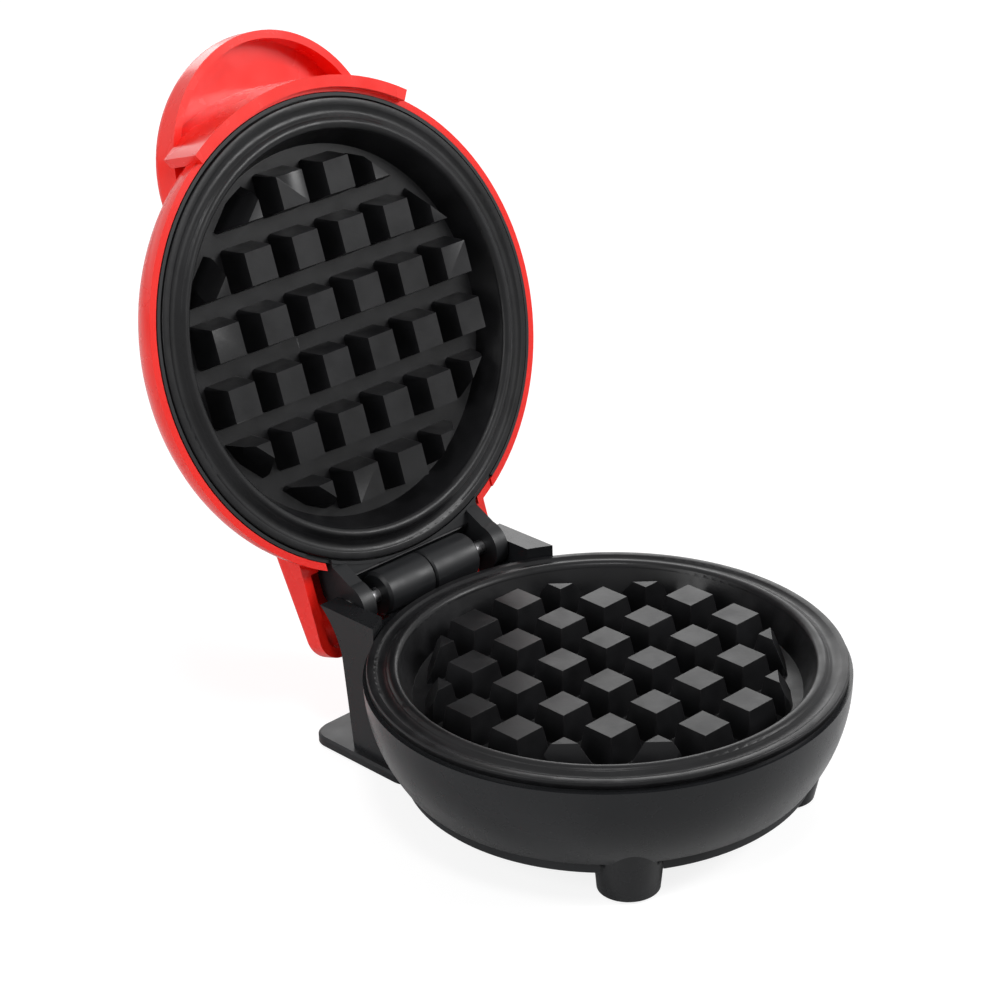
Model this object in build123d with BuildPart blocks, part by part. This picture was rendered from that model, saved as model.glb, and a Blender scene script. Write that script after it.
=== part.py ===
from build123d import *
import os
from math import atan2, cos, degrees, radians, sin

os.makedirs("parts", exist_ok=True)

# Mini waffle maker, millimetres, +Z up. Everything is drawn closed, with the plates' centre line on
# the Z axis, the table at Z 0 and the hinge at +Y. The lid pieces are then swung open about the hinge.

# Waffle grid
PEG_PITCH = 16.0
PEG_COUNT = 6
PEG_BASE = 11.9
PEG_HEIGHT = 8.2
PEG_DRAFT = 11.0
PEG_CORNER_R = 1.3
GRID_CLIP_R = 47.6
CORNER_TRIM = 65.2
CORNER_DRAFT = 24.0

# Cooking plates
PLATE_R = 61.0
PLATE_FACE_Z = 39.2
PLATE_GAP = 2.5
PLATE_RIM_T = 2.0
PLATE_FLOOR_T = 3.0
PAN_TOP_R = 52.6
PAN_FLOOR_R = 49.6
PAN_WALL = 2.8
BEAD_R = 54.2
BEAD_H = 0.8
LIP_GROOVE_R = 57.6
LIP_GROOVE_D = 0.6
BOSS_R = 3.6
BOSS_CIRCLE_R = 26.0

# Heaters and shields
ELEMENT_R = 2.4
ELEMENT_DROP = 0.6
ELEMENT_RING_R = 37.0
ELEMENT_GAP_ANGLE = 36.0
ELEMENT_TAIL = 8.0
SHIELD_T = 0.8
SHIELD_R = 59.2
SHIELD_DISH_R = 49.5
SHIELD_STEP_R = 54.2
SHIELD_STEP_H = 3.7
SHIELD_BRIM_R = 56.4
SHIELD_DEPTH = 11.6

# Base housing
BOWL_RIM_R = 62.0
BOWL_RIM_Z = 36.6
BOWL_FOOT_R = 54.0
BOWL_FOOT_Z = 12.2
BOWL_WALL = 2.4
LEDGE_T = 2.0
LEDGE_INNER_R = 56.6
COVER_EDGE_R = 52.8
COVER_EDGE_H = 3.4
COVER_BOSS_REACH = 46.5
COVER_BOSS_TURNS = (-90, 15, 165)
COVER_T = 2.2

# Hinge tower and rear foot
TOWER_HALF_W = 33.0
TOWER_TOP_Z = 42.0
TOWER_FRONT_Y = 44.0
TOWER_TOP_Y = 72.2
TOWER_WAIST_Y = 64.6
TOWER_WAIST_Z = 30.0
TOWER_FOOT_Y = 61.8
TOWER_WALL = 2.5
FOOT_T = 2.5
FOOT_REAR_Y = 77.5
FOOT_FRONT_Y = 38.0
FOOT_HALF_W = 35.2
FOOT_CORNER_R = 6.0

# Front legs and pads
LEG_ANGLE = 49.6
LEG_TOP_R = 9.3
LEG_TOP_REACH = 47.6
LEG_TOP_Z = 18.5
LEG_FOOT_R = 7.9
LEG_FOOT_REACH = 45.0
PAD_R = 5.2
PAD_T = 1.6
PAD_STANDS_OUT = 0.6

# Hinge
HINGE_Y = 68.6
HINGE_Z = 40.0
LID_OPEN = 107.34
PIN_R = 2.0
PIN_RUN_CLEARANCE = 0.08
BARREL_R = 6.2
BARREL_HALF_L = 16.5
BARREL_SEAM = 0.3
BARREL_END_T = 4.0
BARREL_BORE_R = 4.0
ARM_R = 6.5
ARM_T = 4.3
ARM_SIDE_CLEARANCE = 0.4
ARM_RUN_CLEARANCE = 0.5
NOTCH_HALF_W = 26.7
NOTCH_TOP_Z = 35.5
HEEL_L = 9.0
HEEL_HALF_H = 3.0
STOP_CLEARANCE = 0.3

# Lid
FRAME_R = 62.3
FRAME_LIP_T = 0.9
FRAME_LIP_Z = 42.2
RING_TOP_Z = 47.4
ARM_ROOT_Z = 49.5
ARM_ROOT_Y = 56.2
WEB_R = 8.6
WEB_T = 1.6
WEB_START = 50.0
WEB_END = 153.0
FRAME_WALL = 2.2
TAB_END_Y = 61.6
FRAME_BOSS_R = 58.3
FRAME_BOSS_WALL_R = 1.7
FRAME_SCREW_R = 0.9
FRAME_SCREW_HEAD_R = 1.6
DOME_R = 64.4
DOME_RIM_Z = 42.5
DOME_TOP_Z = 70.0
DOME_WALL = 1.9
SHOULDER_R = 17.0
SKIRT_INNER_R = 63.6
SKIRT_OUTER_R = 66.7
SKIRT_HALF_ANGLE = 33.0
SKIRT_Z = 40.2
HANDLE_R = 34.2
HANDLE_Y = -47.0
HANDLE_RIM_Z = 54.2
HANDLE_TOP_Z = 65.4
HANDLE_TIP_DROP = 3.4
HANDLE_WALL = 2.2
POCKET_ROOF_T = 1.7
HANDLE_ROUND = 3.6
HOOD_HALF_W = 33.1
HOOD_REAR_Y = 82.5
HOOD_RIM_Z = 47.1
HOOD_FRONT_TOP_Z = 58.0
HOOD_REAR_TOP_Z = 53.0
HOOD_BREAK_Y = 50.0
HOOD_WALL = 2.7
HOOD_CORNER_R = 6.0
HOOD_ROUND = 2.0
TOWER_LID_CLEARANCE = 1.0

# Small parts
SCREW_R = 1.4
SCREW_HEAD_R = 2.6
SCREW_HEAD_H = 1.4
FIT = 0.3
LENS_R = 3.0
LENS_Y = -30.0
LENS_STANDS_OUT = 0.7
GLAND_R = 4.6
GLAND_BORE_R = 3.4
GLAND_FLANGE_R = 6.5
GLAND_Z = 15.0

UPPER_FACE_Z = PLATE_FACE_Z + PLATE_GAP
PARTING = Plane.XY.offset(PLATE_FACE_Z + PLATE_GAP / 2)
HINGE_AXIS = Axis((0, HINGE_Y, HINGE_Z), (1, 0, 0))
PLATE_BACK_Z = PLATE_FACE_Z - PEG_HEIGHT - PLATE_FLOOR_T
RIM_BACK_Z = PLATE_FACE_Z - PLATE_RIM_T
LEDGE_BACK_Z = RIM_BACK_Z - LEDGE_T
SHIELD_FLOOR_Z = LEDGE_BACK_Z - SHIELD_DEPTH


def side_plane(x):
    """A plane facing +X at x, whose own axes are the object's Y and Z."""
    return Plane(origin=(x, 0, 0), x_dir=(0, 1, 0), z_dir=(1, 0, 0))


# Waffle pegs: tapered squares on a grid, trimmed to the round of the plate
with BuildPart() as pegs:
    with BuildSketch(Plane.XY.offset(PLATE_FACE_Z - PEG_HEIGHT)):
        with GridLocations(PEG_PITCH, PEG_PITCH, PEG_COUNT, PEG_COUNT):
            RectangleRounded(PEG_BASE, PEG_BASE, PEG_CORNER_R)
    extrude(amount=PEG_HEIGHT, taper=PEG_DRAFT)
    with BuildSketch(Plane.XY.offset(PLATE_FACE_Z - PEG_HEIGHT)):
        Circle(GRID_CLIP_R)
    extrude(amount=PEG_HEIGHT, taper=PEG_DRAFT, mode=Mode.INTERSECT)
    with BuildSketch(Plane.XY.offset(PLATE_FACE_Z - PEG_HEIGHT)):
        RegularPolygon(CORNER_TRIM, 4)
    extrude(amount=PEG_HEIGHT, taper=CORNER_DRAFT, mode=Mode.INTERSECT)


# Waffle plate: a flanged pan with a beaded lip, tapered square pegs and screw bosses on its back
with BuildPart() as plate_blank:
    with BuildSketch(Plane.XZ):
        with BuildLine():
            Polyline(
                (0, PLATE_BACK_Z),
                (PAN_FLOOR_R + PAN_WALL, PLATE_BACK_Z),
                (PAN_TOP_R + PAN_WALL, RIM_BACK_Z),
                (PLATE_R, RIM_BACK_Z),
                (PLATE_R, PLATE_FACE_Z - LIP_GROOVE_D / 2),
                (PLATE_R - LIP_GROOVE_D / 2, PLATE_FACE_Z),
                (LIP_GROOVE_R + 1.6, PLATE_FACE_Z),
            )
            ThreePointArc(
                (LIP_GROOVE_R + 1.6, PLATE_FACE_Z),
                (LIP_GROOVE_R, PLATE_FACE_Z - LIP_GROOVE_D),
                (LIP_GROOVE_R - 1.6, PLATE_FACE_Z),
            )
            Line((LIP_GROOVE_R - 1.6, PLATE_FACE_Z), (BEAD_R + BEAD_H * 2, PLATE_FACE_Z))
            ThreePointArc(
                (BEAD_R + BEAD_H * 2, PLATE_FACE_Z),
                (BEAD_R, PLATE_FACE_Z + BEAD_H),
                (PAN_TOP_R, PLATE_FACE_Z - BEAD_H),
            )
            Polyline(
                (PAN_TOP_R, PLATE_FACE_Z - BEAD_H),
                (PAN_FLOOR_R, PLATE_FACE_Z - PEG_HEIGHT),
                (0, PLATE_FACE_Z - PEG_HEIGHT),
                (0, PLATE_BACK_Z),
            )
        make_face()
    revolve(axis=Axis.Z)
    add(pegs.part)
    with BuildSketch(Plane.XY.offset(SHIELD_FLOOR_Z + SHIELD_T)):
        with PolarLocations(BOSS_CIRCLE_R, 4, start_angle=45):
            Circle(BOSS_R)
    extrude(until=Until.NEXT)


# Tubular heater, pressed half its depth into the back of the plate, with two tails turned away
ELEMENT_Z = PLATE_BACK_Z - ELEMENT_DROP
with BuildPart() as lower_element:
    start = radians(90 + ELEMENT_GAP_ANGLE / 2)
    section = Plane(origin=(0, 0, 0), x_dir=(cos(start), sin(start), 0), z_dir=(sin(start), -cos(start), 0))
    with BuildSketch(section):
        with Locations((ELEMENT_RING_R, ELEMENT_Z)):
            Circle(ELEMENT_R)
    revolve(axis=Axis.Z, revolution_arc=360 - ELEMENT_GAP_ANGLE)
    for side in (-1, 1):
        turn = radians(90 + side * ELEMENT_GAP_ANGLE / 2)
        tail = Plane.XY.offset(ELEMENT_Z - ELEMENT_TAIL)
        with BuildSketch(tail):
            with Locations((ELEMENT_RING_R * cos(turn), ELEMENT_RING_R * sin(turn))):
                Circle(ELEMENT_R)
        extrude(amount=ELEMENT_TAIL)
        with Locations((ELEMENT_RING_R * cos(turn), ELEMENT_RING_R * sin(turn), ELEMENT_Z)):
            Sphere(ELEMENT_R)

with BuildPart() as lower_plate:
    add(plate_blank.part)
    add(lower_element.part, mode=Mode.SUBTRACT)
    with BuildSketch(Plane.XY.offset(SHIELD_FLOOR_Z)):
        with PolarLocations(BOSS_CIRCLE_R, 4, start_angle=45):
            Circle(SCREW_R)
    extrude(amount=PLATE_BACK_Z - SHIELD_FLOOR_Z, mode=Mode.SUBTRACT)


# Heat shield: a thin pressed dish that clamps the plate to the housing's ledge
with BuildPart() as lower_shield:
    with BuildSketch(Plane.XZ):
        with BuildLine():
            Polyline(
                (0, SHIELD_FLOOR_Z),
                (SHIELD_DISH_R, SHIELD_FLOOR_Z),
                (SHIELD_STEP_R, SHIELD_FLOOR_Z + SHIELD_STEP_H),
                (SHIELD_BRIM_R, LEDGE_BACK_Z - SHIELD_T),
                (SHIELD_R, LEDGE_BACK_Z - SHIELD_T),
                (SHIELD_R, LEDGE_BACK_Z),
                (SHIELD_BRIM_R - SHIELD_T, LEDGE_BACK_Z),
                (SHIELD_STEP_R - SHIELD_T, SHIELD_FLOOR_Z + SHIELD_STEP_H + SHIELD_T / 2),
                (SHIELD_DISH_R - SHIELD_T / 2, SHIELD_FLOOR_Z + SHIELD_T),
                (0, SHIELD_FLOOR_Z + SHIELD_T),
                (0, SHIELD_FLOOR_Z),
            )
        make_face()
    revolve(axis=Axis.Z)
    with BuildSketch(Plane.XY.offset(SHIELD_FLOOR_Z)):
        with PolarLocations(BOSS_CIRCLE_R, 4, start_angle=45):
            Circle(SCREW_R)
        for side in (-1, 1):
            turn = radians(90 + side * ELEMENT_GAP_ANGLE / 2)
            with Locations((ELEMENT_RING_R * cos(turn), ELEMENT_RING_R * sin(turn))):
                Circle(ELEMENT_R + 1)
    extrude(amount=SHIELD_T, mode=Mode.SUBTRACT)
    with BuildSketch(Plane.XY.offset(LEDGE_BACK_Z)):
        with PolarLocations(FRAME_BOSS_R, 4, start_angle=45):
            Circle(FRAME_BOSS_WALL_R + FIT)
    extrude(amount=-SHIELD_T, mode=Mode.SUBTRACT)


# Screws through the shield into the plate's bosses
with BuildPart() as lower_plate_screws:
    with BuildSketch(Plane.XY.offset(SHIELD_FLOOR_Z - SCREW_HEAD_H)):
        with PolarLocations(BOSS_CIRCLE_R, 4, start_angle=45):
            Circle(SCREW_HEAD_R)
    extrude(amount=SCREW_HEAD_H)
    with BuildSketch(Plane.XY.offset(SHIELD_FLOOR_Z)):
        with PolarLocations(BOSS_CIRCLE_R, 4, start_angle=45):
            Circle(SCREW_R)
    extrude(amount=PLATE_BACK_Z - SHIELD_FLOOR_Z)


# Thermostat and thermal fuse, clipped under the lower shield
THERMOSTAT_R = 8.0
THERMOSTAT_H = 6.0
with BuildPart() as thermostat:
    with BuildSketch(Plane.XY.offset(SHIELD_FLOOR_Z)):
        Circle(THERMOSTAT_R)
    extrude(amount=-THERMOSTAT_H)
    with BuildSketch(Plane.XY.offset(SHIELD_FLOOR_Z)):
        SlotOverall(THERMOSTAT_R * 3.2, THERMOSTAT_R * 0.9)
    extrude(amount=-1.2)
    for side in (-1, 1):
        with BuildSketch(Plane.XY.offset(SHIELD_FLOOR_Z - THERMOSTAT_H)):
            with Locations((0, side * THERMOSTAT_R / 2)):
                Rectangle(6.3, 0.8)
        extrude(amount=-4)

FUSE_R = 2.0
FUSE_L = 14.0
FUSE_Y = 22.0
with BuildPart() as thermal_fuse:
    with BuildSketch(side_plane(-FUSE_L / 2)):
        with Locations((FUSE_Y, SHIELD_FLOOR_Z - FUSE_R)):
            Circle(FUSE_R)
    extrude(amount=FUSE_L)
    for side in (-1, 1):
        with BuildSketch(side_plane(side * FUSE_L / 2)):
            with Locations((FUSE_Y, SHIELD_FLOOR_Z - FUSE_R)):
                Circle(0.6)
        extrude(amount=side * 6)


# Base housing: a bowl with a seat ledge, a hinge tower behind it and two tapered legs in front
def leg_spot(reach, side):
    """The centre of a leg at a reach from the bowl's centre line."""
    turn = radians(90 - LEG_ANGLE)
    return (side * reach * sin(turn), -reach * cos(turn))


LEG_BASE_Z = PAD_STANDS_OUT
FOOT_BASE_Z = PAD_STANDS_OUT - 0.1
FOOT_TOP_Z = FOOT_BASE_Z + FOOT_T
FOOT_SCREW_X = TOWER_HALF_W - TOWER_WALL - SCREW_R - FIT
FOOT_SCREW_Y = (TOWER_FRONT_Y + TOWER_FOOT_Y) / 2
COVER_BOSS_SPOTS = [
    (COVER_BOSS_REACH * cos(radians(turn)), COVER_BOSS_REACH * sin(radians(turn)))
    for turn in COVER_BOSS_TURNS
]
TOWER_CAVITY_TOP_Z = HINGE_Z - HEEL_L - 2 * TOWER_WALL

with BuildPart() as base_bowl:
    # Hinge tower, a block with a curved back
    with BuildSketch(side_plane(-TOWER_HALF_W)):
        with BuildLine():
            Line((TOWER_FRONT_Y, FOOT_TOP_Z), (TOWER_FRONT_Y, TOWER_TOP_Z))
            Line((TOWER_FRONT_Y, TOWER_TOP_Z), (TOWER_TOP_Y, TOWER_TOP_Z))
            ThreePointArc(
                (TOWER_TOP_Y, TOWER_TOP_Z),
                ((TOWER_TOP_Y + 2 * TOWER_WAIST_Y) / 3, (TOWER_TOP_Z + TOWER_WAIST_Z) / 2),
                (TOWER_WAIST_Y, TOWER_WAIST_Z),
            )
            Line((TOWER_WAIST_Y, TOWER_WAIST_Z), (TOWER_FOOT_Y, FOOT_TOP_Z))
            Line((TOWER_FOOT_Y, FOOT_TOP_Z), (TOWER_FRONT_Y, FOOT_TOP_Z))
        make_face()
    extrude(amount=2 * TOWER_HALF_W)
    # Notch for the lid's arms and the barrel
    with BuildSketch(Plane.XY.offset(NOTCH_TOP_Z)):
        with Locations((0, HINGE_Y)):
            Rectangle(2 * NOTCH_HALF_W, 2 * (HINGE_Y - TOWER_FRONT_Y))
    extrude(amount=TOWER_TOP_Z, mode=Mode.SUBTRACT)
    # Bowl wall and legs
    with BuildSketch(Plane.XZ):
        with BuildLine():
            Line((0, BOWL_FOOT_Z), (BOWL_FOOT_R, BOWL_FOOT_Z))
            TangentArc((BOWL_RIM_R, BOWL_RIM_Z), (BOWL_FOOT_R, BOWL_FOOT_Z), tangent=(0, -1))
            Line((BOWL_RIM_R, BOWL_RIM_Z), (0, BOWL_RIM_Z))
            Line((0, BOWL_RIM_Z), (0, BOWL_FOOT_Z))
        make_face()
    revolve(axis=Axis.Z)
    for side in (-1, 1):
        with BuildSketch(Plane.XY.offset(LEG_BASE_Z)):
            with Locations(leg_spot(LEG_FOOT_REACH, side)):
                Circle(LEG_FOOT_R)
        with BuildSketch(Plane.XY.offset(LEG_TOP_Z)):
            with Locations(leg_spot(LEG_TOP_REACH, side)):
                Circle(LEG_TOP_R)
        loft()
    # Clear inside: the bowl, then the seat ledge, the tower, the legs and their pads
    with BuildSketch(Plane.XZ):
        with BuildLine():
            Polyline(
                (0, BOWL_FOOT_Z),
                (BOWL_FOOT_R - BOWL_WALL, BOWL_FOOT_Z),
                (BOWL_FOOT_R - BOWL_WALL, BOWL_FOOT_Z + 0.1),
            )
            TangentArc(
                (BOWL_RIM_R - BOWL_WALL, LEDGE_BACK_Z),
                (BOWL_FOOT_R - BOWL_WALL, BOWL_FOOT_Z + 0.1),
                tangent=(0, -1),
            )
            Polyline(
                (BOWL_RIM_R - BOWL_WALL, LEDGE_BACK_Z),
                (LEDGE_INNER_R, LEDGE_BACK_Z),
                (LEDGE_INNER_R, BOWL_RIM_Z),
                (0, BOWL_RIM_Z),
                (0, BOWL_FOOT_Z),
            )
        make_face()
    revolve(axis=Axis.Z, mode=Mode.SUBTRACT)
    with BuildSketch(Plane.XY.offset(RIM_BACK_Z)):
        Circle(BOWL_RIM_R - BOWL_WALL / 2)
        Circle(LEDGE_INNER_R, mode=Mode.SUBTRACT)
    extrude(amount=-LEDGE_T)
    with BuildSketch(Plane.XY.offset(RIM_BACK_Z)):
        Circle(PLATE_R + FIT)
    extrude(amount=TOWER_TOP_Z - RIM_BACK_Z, mode=Mode.SUBTRACT)
    with BuildSketch(Plane.XY.offset(LEDGE_BACK_Z)):
        Circle(LEDGE_INNER_R)
    extrude(amount=LEDGE_T, mode=Mode.SUBTRACT)
    with BuildSketch(Plane.XY.offset(FOOT_TOP_Z)):
        with Locations((0, (TOWER_FRONT_Y + TOWER_FOOT_Y) / 2)):
            Rectangle(2 * (TOWER_HALF_W - TOWER_WALL), TOWER_FOOT_Y - TOWER_FRONT_Y - 2 * TOWER_WALL)
    extrude(amount=TOWER_CAVITY_TOP_Z - FOOT_TOP_Z, mode=Mode.SUBTRACT)
    for side in (-1, 1):
        with BuildSketch(Plane.XY.offset(LEG_BASE_Z)):
            with Locations(leg_spot(LEG_FOOT_REACH, side)):
                Circle(PAD_R)
        extrude(amount=PAD_T - PAD_STANDS_OUT, mode=Mode.SUBTRACT)
    # Seats on the hinge line: the barrel's saddle, the arms' running room and the heel stops
    with BuildSketch(side_plane(-BARREL_HALF_L)):
        with Locations((HINGE_Y, HINGE_Z)):
            Circle(BARREL_R)
    extrude(amount=2 * BARREL_HALF_L, mode=Mode.SUBTRACT)
    for side in (-1, 1):
        middle = side * (BARREL_HALF_L + NOTCH_HALF_W) / 2
        room = side_plane(middle)
        with BuildSketch(room):
            with Locations((HINGE_Y, HINGE_Z)):
                Circle(HEEL_L + 3 * ARM_RUN_CLEARANCE)
            depth = 4 * HEEL_L
            turn = radians(LID_OPEN)
            reach = depth / 2 - HEEL_HALF_H - STOP_CLEARANCE
            with Locations((HINGE_Y + reach * sin(turn), HINGE_Z + reach * cos(turn))):
                Rectangle(depth, depth, rotation=90 - LID_OPEN, mode=Mode.INTERSECT)
            with Locations((HINGE_Y, HINGE_Z)):
                Circle(ARM_R + ARM_RUN_CLEARANCE)
        extrude(amount=(NOTCH_HALF_W - BARREL_HALF_L) / 2, both=True, mode=Mode.SUBTRACT)
    # Pin bores in the tower's cheeks, and the hole for the gland
    PIN_END_X = TOWER_HALF_W - 1.5
    with BuildSketch(side_plane(-PIN_END_X)):
        with Locations((HINGE_Y, HINGE_Z)):
            Circle(PIN_R)
    extrude(amount=2 * PIN_END_X, mode=Mode.SUBTRACT)
    with BuildSketch(Plane.XZ.offset(-TOWER_FRONT_Y - 2 * TOWER_WALL)):
        with Locations((0, GLAND_Z)):
            Circle(GLAND_R)
    extrude(amount=-(TOWER_WAIST_Y - TOWER_FRONT_Y), mode=Mode.SUBTRACT)
    # Bosses for the bottom cover and the rear foot
    with BuildSketch(Plane.XY.offset(BOWL_FOOT_Z)):
        for turn in COVER_BOSS_TURNS:
            with PolarLocations((COVER_BOSS_REACH + BOWL_FOOT_R - BOWL_WALL) / 2, 1, start_angle=turn):
                Rectangle(BOWL_FOOT_R - BOWL_WALL - COVER_BOSS_REACH + 1, 1.6)
        with Locations(*COVER_BOSS_SPOTS):
            Circle(SCREW_HEAD_R)
            Circle(SCREW_R, mode=Mode.SUBTRACT)
    extrude(amount=8)
    with BuildSketch(Plane.XY.offset(FOOT_TOP_Z)):
        with Locations((-FOOT_SCREW_X, FOOT_SCREW_Y), (FOOT_SCREW_X, FOOT_SCREW_Y)):
            Circle(SCREW_HEAD_R)
            Circle(SCREW_R, mode=Mode.SUBTRACT)
    extrude(amount=8)


# Bottom cover: a shallow dish under the bowl, cut back round the tower and the legs
COVER_BOTTOM_Z = BOWL_FOOT_Z - COVER_EDGE_H
with BuildPart() as bottom_cover:
    with BuildSketch(Plane.XZ):
        with BuildLine():
            Polyline(
                (0, COVER_BOTTOM_Z),
                (COVER_EDGE_R - 0.5, COVER_BOTTOM_Z),
                (COVER_EDGE_R, COVER_BOTTOM_Z + 0.5),
                (COVER_EDGE_R, BOWL_FOOT_Z),
                (BOWL_FOOT_R - BOWL_WALL, BOWL_FOOT_Z),
                (BOWL_FOOT_R - BOWL_WALL, BOWL_FOOT_Z - COVER_EDGE_H + COVER_T),
                (0, BOWL_FOOT_Z - COVER_EDGE_H + COVER_T),
                (0, COVER_BOTTOM_Z),
            )
        make_face()
    revolve(axis=Axis.Z)
    with BuildSketch(Plane.XY.offset(COVER_BOTTOM_Z)):
        with Locations(*COVER_BOSS_SPOTS):
            Circle(SCREW_HEAD_R + 1)
    extrude(amount=COVER_EDGE_H)
    with BuildSketch(Plane.XY.offset(COVER_BOTTOM_Z)):
        with Locations(*COVER_BOSS_SPOTS):
            Circle(SCREW_HEAD_R)
    extrude(amount=SCREW_HEAD_H, mode=Mode.SUBTRACT)
    with BuildSketch(Plane.XY.offset(COVER_BOTTOM_Z)):
        with Locations((0, TOWER_FRONT_Y + BOWL_RIM_R / 2 - FIT)):
            Rectangle(2 * (TOWER_HALF_W + FIT), BOWL_RIM_R)
        with Locations(leg_spot(LEG_FOOT_REACH + 1.4, -1), leg_spot(LEG_FOOT_REACH + 1.4, 1)):
            Circle(LEG_TOP_R + FIT)
    extrude(amount=COVER_EDGE_H, mode=Mode.SUBTRACT)
    with BuildSketch(Plane.XY.offset(COVER_BOTTOM_Z)):
        with Locations(*COVER_BOSS_SPOTS):
            Circle(SCREW_R)
    extrude(amount=COVER_EDGE_H, mode=Mode.SUBTRACT)
    with BuildSketch(Plane.XY.offset(COVER_BOTTOM_Z)):
        with GridLocations(9, 1, 5, 1):
            SlotOverall(22, 2.4, rotation=90)
    extrude(amount=COVER_T, mode=Mode.SUBTRACT)

with BuildPart() as bottom_cover_screws:
    with BuildSketch(Plane.XY.offset(COVER_BOTTOM_Z)):
        with Locations(*COVER_BOSS_SPOTS):
            Circle(SCREW_R)
    extrude(amount=COVER_EDGE_H + 6)
    with BuildSketch(Plane.XY.offset(COVER_BOTTOM_Z)):
        with Locations(*COVER_BOSS_SPOTS):
            Circle(SCREW_HEAD_R)
    extrude(amount=SCREW_HEAD_H)


# Rear foot: the plate that spreads the tower's stance behind the open lid
REAR_PAD_X = FOOT_HALF_W - FOOT_CORNER_R - 1
REAR_PAD_Y = FOOT_REAR_Y - FOOT_CORNER_R - 1
with BuildPart() as rear_foot:
    with BuildSketch(Plane.XY.offset(FOOT_BASE_Z)):
        with Locations((0, (FOOT_REAR_Y + FOOT_FRONT_Y) / 2)):
            RectangleRounded(2 * FOOT_HALF_W, FOOT_REAR_Y - FOOT_FRONT_Y, FOOT_CORNER_R)
    extrude(amount=FOOT_T)
    chamfer(rear_foot.edges().group_by(Axis.Z)[-1], 0.6)
    with BuildSketch(Plane.XY.offset(FOOT_BASE_Z)):
        with Locations((-REAR_PAD_X, REAR_PAD_Y), (REAR_PAD_X, REAR_PAD_Y)):
            Circle(PAD_R)
    extrude(amount=PAD_T - FOOT_BASE_Z, mode=Mode.SUBTRACT)
    with BuildSketch(Plane.XY.offset(FOOT_BASE_Z)):
        with Locations((-FOOT_SCREW_X, FOOT_SCREW_Y), (FOOT_SCREW_X, FOOT_SCREW_Y)):
            Circle(SCREW_HEAD_R)
    extrude(amount=SCREW_HEAD_H, mode=Mode.SUBTRACT)
    with BuildSketch(Plane.XY.offset(FOOT_BASE_Z)):
        with Locations((-FOOT_SCREW_X, FOOT_SCREW_Y), (FOOT_SCREW_X, FOOT_SCREW_Y)):
            Circle(SCREW_R)
    extrude(amount=FOOT_T, mode=Mode.SUBTRACT)

with BuildPart() as rear_foot_screws:
    with BuildSketch(Plane.XY.offset(FOOT_BASE_Z)):
        with Locations((-FOOT_SCREW_X, FOOT_SCREW_Y), (FOOT_SCREW_X, FOOT_SCREW_Y)):
            Circle(SCREW_HEAD_R)
    extrude(amount=SCREW_HEAD_H)
    with BuildSketch(Plane.XY.offset(FOOT_BASE_Z)):
        with Locations((-FOOT_SCREW_X, FOOT_SCREW_Y), (FOOT_SCREW_X, FOOT_SCREW_Y)):
            Circle(SCREW_R)
    extrude(amount=FOOT_T + 6)


# Rubber pads
with BuildPart() as front_pads:
    with BuildSketch():
        with Locations(leg_spot(LEG_FOOT_REACH, -1), leg_spot(LEG_FOOT_REACH, 1)):
            Circle(PAD_R)
    extrude(amount=PAD_T)
    fillet(front_pads.edges().group_by(Axis.Z)[0], 0.4)

with BuildPart() as rear_pads:
    with BuildSketch():
        with Locations((-REAR_PAD_X, REAR_PAD_Y), (REAR_PAD_X, REAR_PAD_Y)):
            Circle(PAD_R)
    extrude(amount=PAD_T)
    fillet(rear_pads.edges().group_by(Axis.Z)[0], 0.4)


# Cord gland in the tower's back: a flanged bush, left empty
TOWER_BACK_AT_GLAND_Y = TOWER_FOOT_Y + (TOWER_WAIST_Y - TOWER_FOOT_Y) * (GLAND_Z - FOOT_TOP_Z) / (
    TOWER_WAIST_Z - FOOT_TOP_Z
)
GLAND_FLANGE_Y = TOWER_BACK_AT_GLAND_Y + 1.2
with BuildPart() as cord_gland:
    with BuildSketch(Plane.XZ.offset(-GLAND_FLANGE_Y)):
        with Locations((0, GLAND_Z)):
            Circle(GLAND_R)
            Circle(GLAND_BORE_R, mode=Mode.SUBTRACT)
    extrude(amount=TOWER_WALL + 4)
    with BuildSketch(Plane.XZ.offset(-GLAND_FLANGE_Y)):
        with Locations((0, GLAND_Z)):
            Circle(GLAND_FLANGE_R)
            Circle(GLAND_BORE_R, mode=Mode.SUBTRACT)
    extrude(amount=-2.0)
    chamfer(cord_gland.edges().group_by(Axis.Y)[-1], 0.5)


# Terminal block on the bottom cover
BLOCK_Y = 18.0
with BuildPart() as terminal_block:
    with BuildSketch(Plane.XY.offset(COVER_BOTTOM_Z + COVER_T)):
        with Locations((0, BLOCK_Y)):
            Rectangle(26, 9)
    extrude(amount=5.5)
    with BuildSketch(Plane.XY.offset(COVER_BOTTOM_Z + COVER_T + 5.5)):
        with Locations((0, BLOCK_Y)):
            with GridLocations(8, 1, 3, 1):
                Circle(2.0)
    extrude(amount=-3, mode=Mode.SUBTRACT)


# Hinge barrel: two sleeves that meet over the middle and hide the leads to the lid
def make_barrel(side):
    """One sleeve of the barrel, on the side of -X or +X."""
    near = side * BARREL_SEAM / 2
    far = side * BARREL_HALF_L
    with BuildPart() as sleeve:
        with BuildSketch(Plane.XY.offset(HINGE_Z)):
            with BuildLine():
                Polyline(
                    (near, HINGE_Y + BARREL_BORE_R),
                    (near, HINGE_Y + BARREL_R - 0.5),
                    (near + side * 0.5, HINGE_Y + BARREL_R),
                    (far - side * 0.8, HINGE_Y + BARREL_R),
                    (far, HINGE_Y + BARREL_R - 0.8),
                    (far, HINGE_Y + PIN_R),
                    (far - side * BARREL_END_T, HINGE_Y + PIN_R),
                    (far - side * BARREL_END_T, HINGE_Y + BARREL_BORE_R),
                    (near, HINGE_Y + BARREL_BORE_R),
                )
            make_face()
        revolve(axis=HINGE_AXIS)
    return sleeve


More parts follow.
